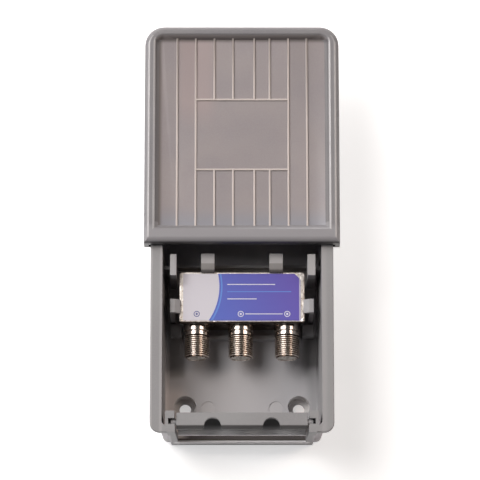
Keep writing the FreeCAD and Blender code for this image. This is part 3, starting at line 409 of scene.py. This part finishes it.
bm = copyOfNode("base_housing")
soften(bm, sharpEdges(bm, housingStyle["angle"], offWallFoot, housingStyle["room"]), housingStyle["edge"])
newPiece("baseShell", bm, "housing", [housingFinish], ["base_housing"])
print("stage: base housing")


# Sliding cover

panelTop = ("Z", 33.9, 33.3)
upperSlope = ("Y", 73.0, 73.3)
panelPatches = [
    patch((178, 161, 160), 0.55, ("X", -26, -22), ("X", -8, -14), ("Y", 36, 50)),
    patch((152, 154, 163), 0.8, ("Y", 9.0, 0.0)),
    patch((216, 206, 201), 0.88, ("Z", 33.3, 33.5)),  # painted highlight on the ribs
    patch((112, 105, 102), 0.9, ("X", -29.6, -31.6), panelTop),  # painted shade on the panel at the foot of the slopes
    patch((98, 92, 90), 0.9, ("Y", 71.7, 73.6), panelTop),
]
# painted light and shade on the inner slopes: lighter at the top and the lower end, darker towards the foot
# of the upper slope
slopeLightAndShade = [
    patch((168, 162, 162), 1.0, upperSlope),
    patch((94, 88, 88), 0.95, upperSlope, ("Z", 35.6, 33.5)),
    patch((146, 144, 147), 1.0, ("Y", 2.0, 1.0)),
]
rimPatches = [
    patch((160, 158, 162), 1.0, ("Y", 1.0, -1.5)),
    patch((68, 66, 68), 0.95, ("Y", -5.5, -6.3), ("Z", 35.0, 33.9)),  # painted shade on the lower end face
]
rimPlastic = dict(greyPlastic, colour=(143, 141, 144), cloudColour=(137, 135, 139),
                  speckColour=(158, 156, 157), roughLow=0.26, roughHigh=0.36, patches=rimPatches)
coverFinishes = [
    mouldedPlastic("coverPlastic", rimPlastic),
    mouldedPlastic("coverPanelPlastic", dict(greyPlastic, colour=(163, 154, 155), cloudColour=(157, 149, 152),
                                             cloudSize=17.0, roughLow=0.28, roughHigh=0.38,
                                             patches=panelPatches)),
    # painted highlight: a lighter, glossier copy of the rim plastic for the side rounds
    mouldedPlastic("coverEdgeHighlight", dict(rimPlastic, colour=(192, 190, 192), cloudColour=(180, 178, 181),
                                           roughLow=0.16, roughHigh=0.24, patches=[])),
    # painted shade: a darker copy of the rim plastic on the inner slopes
    mouldedPlastic("coverSlopeShade", dict(rimPlastic, colour=(121, 118, 121), cloudColour=(116, 113, 116),
                                      speckColour=(134, 132, 133), roughLow=0.45, roughHigh=0.55,
                                      patches=slopeLightAndShade)),
]
plainFace, panelFace, highlightFace, slopeFace = range(4)
coverStyle = {
    "rimLevel": 33.9, "rimAngle": 25, "rimRound": 0.5,
    "lowerEnd": -5.0, "lowerRound": 0.95, "lowerLength": 30,
    "panelLevel": 33.2, "panelHalf": 33.0, "panelEnd": 76.0, "slopeNormal": (0.55, 0.68),
    "ribLevel": 33.7, "ribAngle": 60, "ribRound": 0.2, "ribRoom": 0.01, "sideLevel": 32.0, "angle": 35,
    "edge": 0.16, "room": 0.4, "levelRoom": 0.1, "highlightTilt": 0.1,
}


def atLowerEnd(x, y, z):
    return z > coverStyle["rimLevel"] and y < coverStyle["lowerEnd"]


def onRim(x, y, z):
    return z > coverStyle["rimLevel"] and y > coverStyle["lowerEnd"]


def onRibTop(x, y, z):
    return abs(z - coverStyle["ribLevel"]) < coverStyle["ribRoom"]


def underPanel(x, y, z):
    return z < coverStyle["sideLevel"]


bm = copyOfNode("sliding_cover")
lowerEdges = longOnes(sharpEdges(bm, coverStyle["rimAngle"], atLowerEnd), coverStyle["lowerLength"])
soften(bm, lowerEdges, coverStyle["lowerRound"], 4)
rounds = soften(bm, sharpEdges(bm, coverStyle["rimAngle"], onRim), coverStyle["rimRound"], 3)
for face in rounds:  # only the rounds along both sides get the painted highlight
    face.normal_update()
    tilt = coverStyle["highlightTilt"]
    alongSide = abs(face.normal.x) > tilt and abs(face.normal.y) < tilt
    face.material_index = highlightFace if alongSide else plainFace
soften(bm, sharpEdges(bm, coverStyle["ribAngle"], onRibTop), coverStyle["ribRound"], 3)
soften(bm, sharpEdges(bm, coverStyle["angle"], underPanel, coverStyle["room"]), coverStyle["edge"])
bm.normal_update()
steepest, flattest = coverStyle["slopeNormal"]
panelLow = coverStyle["panelLevel"] - coverStyle["levelRoom"]
panelHigh = coverStyle["ribLevel"] + coverStyle["levelRoom"]
for face in bm.faces:
    x, y, z = face.calc_center_median() / mm
    top = max(vert.co.z for vert in face.verts) / mm
    inside = abs(x) < coverStyle["panelHalf"] and coverStyle["lowerEnd"] < y < coverStyle["panelEnd"]
    if inside and top > coverStyle["rimLevel"] and steepest < face.normal.z < flattest:
        face.material_index = slopeFace
    elif inside and panelLow < z < panelHigh:
        face.material_index = panelFace
newPiece("coverShell", bm, "cover", coverFinishes, ["sliding_cover"])
print("stage: sliding cover")


# Cable flap

underBar = [("Z", 28.4, 27.6), ("Y", -70.4, -71.2)]
behindArch = underBar + [("Z", 21.2, 22.6)]
flapPatches = [
    patch((76, 74, 74), 0.95, ("Z", 27.0, 27.6), ("Y", -75.1, -75.6)),  # painted shade on the bar's lower bevel
    patch((34, 32, 32), 0.95, ("Y", -75.9, -76.4), ("Z", 28.7, 28.0)),  # and the end face below it
    patch((52, 50, 50), 0.95, *underBar, ("Z", 20.8, 23.7)),  # the shaded skirt, darkest behind both arches
    patch((22, 21, 21), 0.9, *behindArch, ("X", -15.6, -13.4), ("X", -6.2, -8.4)),
    patch((22, 21, 21), 0.9, *behindArch, ("X", 15.6, 13.4), ("X", 6.2, 8.4)),
    patch((238, 236, 238), 1.0, ("Z", 21.4, 20.4)),  # painted light on the lower edge
]
flapFinish = mouldedPlastic("flapPlastic", dict(greyPlastic, colour=(159, 159, 161), patches=flapPatches))
flapStyle = {"edge": 0.14, "angle": 35, "room": 0.45, "bevelFrom": (0, -76.6, 28.7),
             "bevelTo": (0, -75.3, 30.0), "bevelDepth": 0.95, "bevelHeight": 1.5, "levelRoom": 0.01}

bm = copyOfNode("cable_flap")
bevelLow, bevelHigh = Vector(flapStyle["bevelFrom"]), Vector(flapStyle["bevelTo"])
for vert in bm.verts:  # the bevel along the lower edge becomes steeper
    x, y, z = vert.co / mm
    offBevel = abs((y - bevelLow.y) - (z - bevelLow.z))
    if offBevel < flapStyle["levelRoom"] and bevelLow.z - flapStyle["levelRoom"] < z:
        share = (z - bevelLow.z) / (bevelHigh.z - bevelLow.z)
        vert.co.y = (bevelLow.y + flapStyle["bevelDepth"] * share) * mm
        vert.co.z = (bevelHigh.z - flapStyle["bevelHeight"] * (1 - share)) * mm
soften(bm, sharpEdges(bm, flapStyle["angle"], room=flapStyle["room"]), flapStyle["edge"])
newPiece("flapBar", bm, "flap", [flapFinish], ["cable_flap"])
print("stage: cable flap")


# Switch module: case and lid

nickelPlate = {"colour": (214, 205, 198), "cloudColour": (196, 184, 174), "cloudSize": 5.0,
               "spotSize": 1.1, "spotStart": 0.6, "spotAmount": 0.6, "spotColour": (148, 112, 76),
               "dentSize": 2.5, "dentStrength": 0.35, "dentDepth": 0.25,
               "grainSize": 0.12, "grainStrength": 0.25, "grainDepth": 0.02,
               "roughLow": 0.16, "roughHigh": 0.3}

caseFinish = platedMetal("casePlate", dict(nickelPlate, colour=(176, 160, 148), cloudColour=(150, 134, 122)))
lidFinish = platedMetal("lidPlate", dict(nickelPlate, colour=(244, 238, 232), cloudColour=(226, 217, 208),
                                         spotSize=0.7, spotAmount=0.9, roughLow=0.4, roughHigh=0.52))
lidSideFinish = platedMetal("lidSidePlate", dict(nickelPlate, colour=(104, 94, 88), cloudColour=(84, 74, 68),
                                                 spotSize=0.8, spotAmount=0.5, roughLow=0.3, roughHigh=0.4))
caseStyle = {"corner": 0.6, "angle": 30, "length": 10, "side": 19, "upper": -16.0, "portSide": 19.9,
             "portEnd": -31.0}


def atCaseCorner(x, y, z):
    atPorts = y < caseStyle["portEnd"] and abs(x) > caseStyle["portSide"]
    return abs(x) > caseStyle["side"] and (y > caseStyle["upper"] or atPorts)


bm = copyOfNode("module_case")
upright = longOnes(sharpEdges(bm, caseStyle["angle"], atCaseCorner), caseStyle["length"])
soften(bm, upright, caseStyle["corner"], 3)
newPiece("caseShell", bm, "housing", [caseFinish], ["module_case"])

lidStyle = {"cell": 0.4, "ripple": 0.16, "rippleSize": 0.5, "cornerBead": 0.5, "beadSize": 1.0,
            "beadInset": 0.5, "labelRoom": 0.1, "stillFoot": 0.3, "dullSide": 0.4}

bm = copyOfNode("module_lid")
lidLow, lidHigh = (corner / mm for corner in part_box("module_lid"))
for axis in range(2):
    dice(bm, axis, lidStyle["cell"], lidLow[axis], lidHigh[axis])
bmesh.ops.triangulate(bm, faces=[face for face in bm.faces if len(face.verts) > 4])
bm.normal_update()
labelLow, labelHigh = (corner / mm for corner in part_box("module_label"))
for vert in bm.verts:
    x, y, z = vert.co / mm
    room, inset = lidStyle["labelRoom"], lidStyle["beadInset"]
    underLabel = labelLow.x - room < x < labelHigh.x + room and labelLow.y - room < y < labelHigh.y + room
    if underLabel or z < lidLow.z + lidStyle["stillFoot"]:
        continue
    lift = noise.noise(Vector((x, y, z)) / lidStyle["rippleSize"]) * lidStyle["ripple"]
    corner = Vector((abs(x) - lidHigh.x + inset, y - lidLow.y - inset, z - lidHigh.z))
    lift += lidStyle["cornerBead"] * max(0.0, 1 - corner.length / lidStyle["beadSize"])
    vert.co += vert.normal * lift * mm
for face in bm.faces:  # the side over the sockets is dull
    if face.calc_center_median().y / mm < lidLow.y + lidStyle["dullSide"]:
        face.material_index = 1
newPiece("lidShell", bm, "housing", [lidFinish, lidSideFinish], ["module_lid"], smoothAngle=60)
print("stage: module case and lid")


# Label: a plain generic print in greys, blue and violet

portPlaces = {"left": -17.0, "middle": -0.45, "right": 17.0}
labelPrint = {
    "paleField": (222, 219, 228), "leftBlue": (96, 116, 206), "rightViolet": (110, 94, 184),
    "line": (232, 232, 240), "softBlue": (110, 150, 226), "darkMark": (78, 84, 150),
    "slant": 0.35, "shadeEnds": (-24.0, 14.0), "fieldCentre": (-32.0, -21.0), "fieldRadius": 23.5,
    "bandGap": 0.9, "bandWidth": 0.28, "edgeRub": 0.7, "edgeWidth": 0.6,
    "markLevel": -31.6, "ringRadius": 1.0, "ringWidth": 0.14, "dotRadius": 0.4, "lineWidth": 0.16,
    "lines": [(3.5, -20.2, 9.0, "line"), (6.5, -23.0, 12.0, "softBlue"), (8.3, -31.6, 7.0, "line"),
              (0.0, -25.8, 5.5, "line")],
    "scuffSize": 0.9, "scuffEnds": (0.3, 0.7), "rough": (0.3, 0.42), "coat": 0.15,
    "waveSize": 6.0, "waveStrength": 0.2, "waveDepth": 0.15,
}

desk = materialDesk("labelFilm")
flat = desk.add("ShaderNodeVectorMath", {0: desk.place, 1: (1 / mm, 1 / mm, 0.0)},
                operation="MULTIPLY").outputs[0]
flatAxes = desk.axes(flat)
across, along = flatAxes["X"], flatAxes["Y"]


def away(x, y):  # distance from a point of the label, in millimetres
    return desk.add("ShaderNodeVectorMath", {0: flat, 1: (x, y, 0.0)}, operation="DISTANCE").outputs["Value"]


def near(value, middle, half):
    return desk.math("COMPARE", value, middle, half)


slope = desk.math("MULTIPLY_ADD", along, labelPrint["slant"], across)
shade = desk.span(slope, *labelPrint["shadeEnds"])
colour = desk.mix(shade, tone(*labelPrint["leftBlue"]), tone(*labelPrint["rightViolet"]))
fromField = away(*labelPrint["fieldCentre"])
pale = desk.math("LESS_THAN", fromField, labelPrint["fieldRadius"])
colour = desk.mix(pale, colour, tone(*labelPrint["paleField"]))
band = near(fromField, labelPrint["fieldRadius"] + labelPrint["bandGap"], labelPrint["bandWidth"])
colour = desk.mix(band, colour, tone(*labelPrint["softBlue"]))
rubbed = desk.math("MULTIPLY", near(across, labelHigh.x, labelPrint["edgeWidth"]), labelPrint["edgeRub"])
colour = desk.mix(rubbed, colour, tone(*labelPrint["paleField"]))
for side, x in portPlaces.items():
    fromPort = away(x, labelPrint["markLevel"])
    ring = near(fromPort, labelPrint["ringRadius"], labelPrint["ringWidth"])
    mark = desk.math("MAXIMUM", ring, desk.math("LESS_THAN", fromPort, labelPrint["dotRadius"]))
    colour = desk.mix(mark, colour, tone(*labelPrint["darkMark" if side == "left" else "line"]))
for x, y, half, ink in labelPrint["lines"]:
    bar = desk.math("MULTIPLY", near(across, x, half), near(along, y, labelPrint["lineWidth"]))
    colour = desk.mix(bar, colour, tone(*labelPrint[ink]))
scuff = desk.noise(labelPrint["scuffSize"], detail=4.0, roughness=0.7)
rough = desk.span(scuff, *labelPrint["scuffEnds"], *labelPrint["rough"])
wave = desk.noise(labelPrint["waveSize"], detail=1.0)
normal = desk.bump(wave, labelPrint["waveStrength"], labelPrint["waveDepth"])
refinish("module_label", desk.finish({"Base Color": colour, "Roughness": rough, "Normal": normal},
                                     Coat_Weight=labelPrint["coat"]))
print("stage: label")


# Finishes of the inner parts

smallPart = {"grainSize": 0.1, "grainStrength": 0.2, "grainDepth": 0.01, "roughLow": 0.35, "roughHigh": 0.5}
innerFinishes = {
    "insulator": dict(smallPart, colour=(236, 233, 226), cloudColour=(226, 222, 212), cloudSize=2.0,
                      grainStrength=0.15, roughLow=0.4, roughHigh=0.55),
    "contact": dict(smallPart, colour=(226, 178, 96), cloudColour=(204, 152, 74), cloudSize=0.8,
                    grainSize=0.05, grainStrength=0.15, roughLow=0.18, roughHigh=0.32, metal=1.0),
    "board": dict(smallPart, colour=(38, 104, 62), cloudColour=(30, 84, 50), cloudSize=3.0,
                  grainSize=0.3, grainStrength=0.3, grainDepth=0.03, roughLow=0.3),
    "chip": dict(smallPart, colour=(38, 38, 40), cloudColour=(30, 30, 33), cloudSize=0.8,
                 grainSize=0.08, grainStrength=0.4, roughLow=0.5, roughHigh=0.7),
    "capacitor_can": dict(smallPart, colour=(196, 198, 202), cloudColour=(176, 178, 184), cloudSize=1.5,
                          roughLow=0.2, roughHigh=0.35, metal=1.0),
    "resonator": dict(smallPart, colour=(208, 142, 62), cloudColour=(190, 122, 50), cloudSize=1.5),
    "chip_capacitor": dict(smallPart, colour=(176, 150, 116), cloudColour=(156, 130, 98), cloudSize=0.6,
                           grainSize=0.06),
    "chip_resistor": dict(smallPart, colour=(42, 44, 52), cloudColour=(32, 34, 42), cloudSize=0.6,
                          grainSize=0.06, roughLow=0.3, roughHigh=0.45),
    "choke": dict(smallPart, colour=(178, 96, 52), cloudColour=(150, 76, 40), cloudSize=0.4,
                  grainStrength=0.4, grainDepth=0.02, roughLow=0.3, roughHigh=0.45, metal=0.8),
}

finishOf = {slotName: plainFinish(slotName + "Finish", look) for slotName, look in innerFinishes.items()}


# Sockets, with a real screw thread round each shell

socketPlate = dict(nickelPlate, spotAmount=0.15, dentStrength=0.0, roughLow=0.14, roughHigh=0.24)
portFinish = platedMetal("socketPlate", socketPlate)
threadFinish = platedMetal("threadPlate", dict(socketPlate, roughLow=0.24, roughHigh=0.34))
grooveFinish = platedMetal("threadBottom", dict(socketPlate, colour=(96, 82, 72), cloudColour=(72, 60, 52)))
socketStyle = {
    "level": 16.2, "spigot": 4.0, "bore": 3.4, "collar": 4.95, "groove": 4.3, "ring": 4.72, "core": 4.2,
    "stops": {"inside": -32.4, "wall": -34.4, "collar": -36.8, "groove": -37.25, "ring": -38.55,
              "end": -47.1},
    "relief": 0.3, "endBevel": 0.15, "boreBevel": 0.12, "round": 0.14, "around": 64, "darkBottomRadius": 4.0,
    "pitch": 0.794, "turns": 10.4, "steps": 36, "tooth": 0.34, "crest": 0.09, "rooted": 0.1, "endRoom": 0.1,
    "fade": 0.35, "sunk": 0.05,
}


def socketShell(x):
    style, stops = socketStyle, socketStyle["stops"]
    bore, core, end = style["bore"], style["core"], stops["end"]
    outline = [
        (bore, stops["inside"]), (style["spigot"], stops["inside"]), (style["spigot"], stops["wall"]),
        (style["collar"], stops["wall"]), (style["collar"], stops["collar"]),
        (style["groove"], stops["collar"]), (style["groove"], stops["groove"]),
        (style["ring"], stops["groove"]), (style["ring"], stops["ring"]),
        (core, stops["ring"] - style["relief"]), (core, end + style["endBevel"]),
        (core - style["endBevel"], end), (bore + style["boreBevel"], end), (bore, end + style["boreBevel"]),
    ]
    roundCorners = (3, 4, 7, 8)  # both edges of the collar and of the ring
    bm = bmesh.new()
    verts = [bm.verts.new(Vector((x + radius, y, style["level"])) * mm) for radius, y in outline]
    for index in range(len(verts)):
        bm.edges.new((verts[index - 1], verts[index]))
    bmesh.ops.bevel(bm, geom=[verts[index] for index in roundCorners], offset=style["round"] * mm,
                    offset_type="OFFSET", affect="VERTICES", segments=3, profile=0.5, material=-1)
    centre = Vector((x, 0, style["level"])) * mm
    bmesh.ops.spin(bm, geom=bm.verts[:] + bm.edges[:], cent=centre, axis=(0, 1, 0), angle=2 * pi,
                   steps=style["around"], use_merge=True)
    bmesh.ops.remove_doubles(bm, verts=bm.verts, dist=meshStyle["spinMerge"])
    bmesh.ops.recalc_face_normals(bm, faces=bm.faces)
    for face in bm.faces:  # the bottom of the thread is darker
        middle = face.calc_center_median() / mm
        radius = Vector((middle.x - x, middle.z - style["level"])).length
        if stops["end"] < middle.y < stops["ring"] and radius > style["darkBottomRadius"]:
            face.material_index = 1
    return bm


def socketThread(x):
    style = socketStyle
    first, last = style["stops"]["ring"] - style["endRoom"], style["stops"]["end"] + style["endRoom"]
    root, sunkRadius = style["core"] - style["rooted"], style["core"] - style["sunk"]
    profile = [(root, style["tooth"]), (style["ring"], style["crest"]), (style["ring"], -style["crest"]),
               (root, -style["tooth"])]
    bm = bmesh.new()
    verts = [bm.verts.new(Vector((x + radius, first + y, style["level"])) * mm) for radius, y in profile]
    face = bm.faces.new(verts)
    centre = Vector((x, 0, style["level"])) * mm
    bmesh.ops.spin(bm, geom=[face] + face.edges[:] + face.verts[:], cent=centre, axis=(0, 1, 0),
                   dvec=(0, -style["pitch"] / style["steps"] * mm, 0), angle=2 * pi * style["turns"],
                   steps=int(style["turns"] * style["steps"]))
    for vert in bm.verts:  # both ends of the thread fade into the shell
        y = vert.co.y / mm
        fade = min(1.0, max(0.0, min(first + style["endRoom"] - y, y - last) / style["fade"]))
        outwards = vert.co - Vector((centre.x, vert.co.y, centre.z))
        radius = outwards.length / mm
        if radius > style["core"]:
            newRadius = sunkRadius + (radius - sunkRadius) * fade
            vert.co = vert.co - outwards + outwards.normalized() * newRadius * mm
    bmesh.ops.recalc_face_normals(bm, faces=bm.faces)
    return bm


for side, x in portPlaces.items():
    newPiece("portShell_" + side, socketShell(x), "housing", [portFinish, grooveFinish],
             ["port_" + side], smoothAngle=40)
    newPiece("portThread_" + side, socketThread(x), "housing", [threadFinish], smoothAngle=50)
for side in portPlaces:
    for kind in ("insulator", "contact"):
        bm = copyOfNode(kind + "_" + side)
        newPiece(kind + "Turned_" + side, bm, "housing", [finishOf[kind]], [kind + "_" + side])
print("stage: sockets")


# Inner parts that keep their CAD shape

for row in frame["record"]["subparts"]:
    if row["material_slot"] in finishOf:
        refinish(row["node"], finishOf[row["material_slot"]])
print("stage: inner parts")
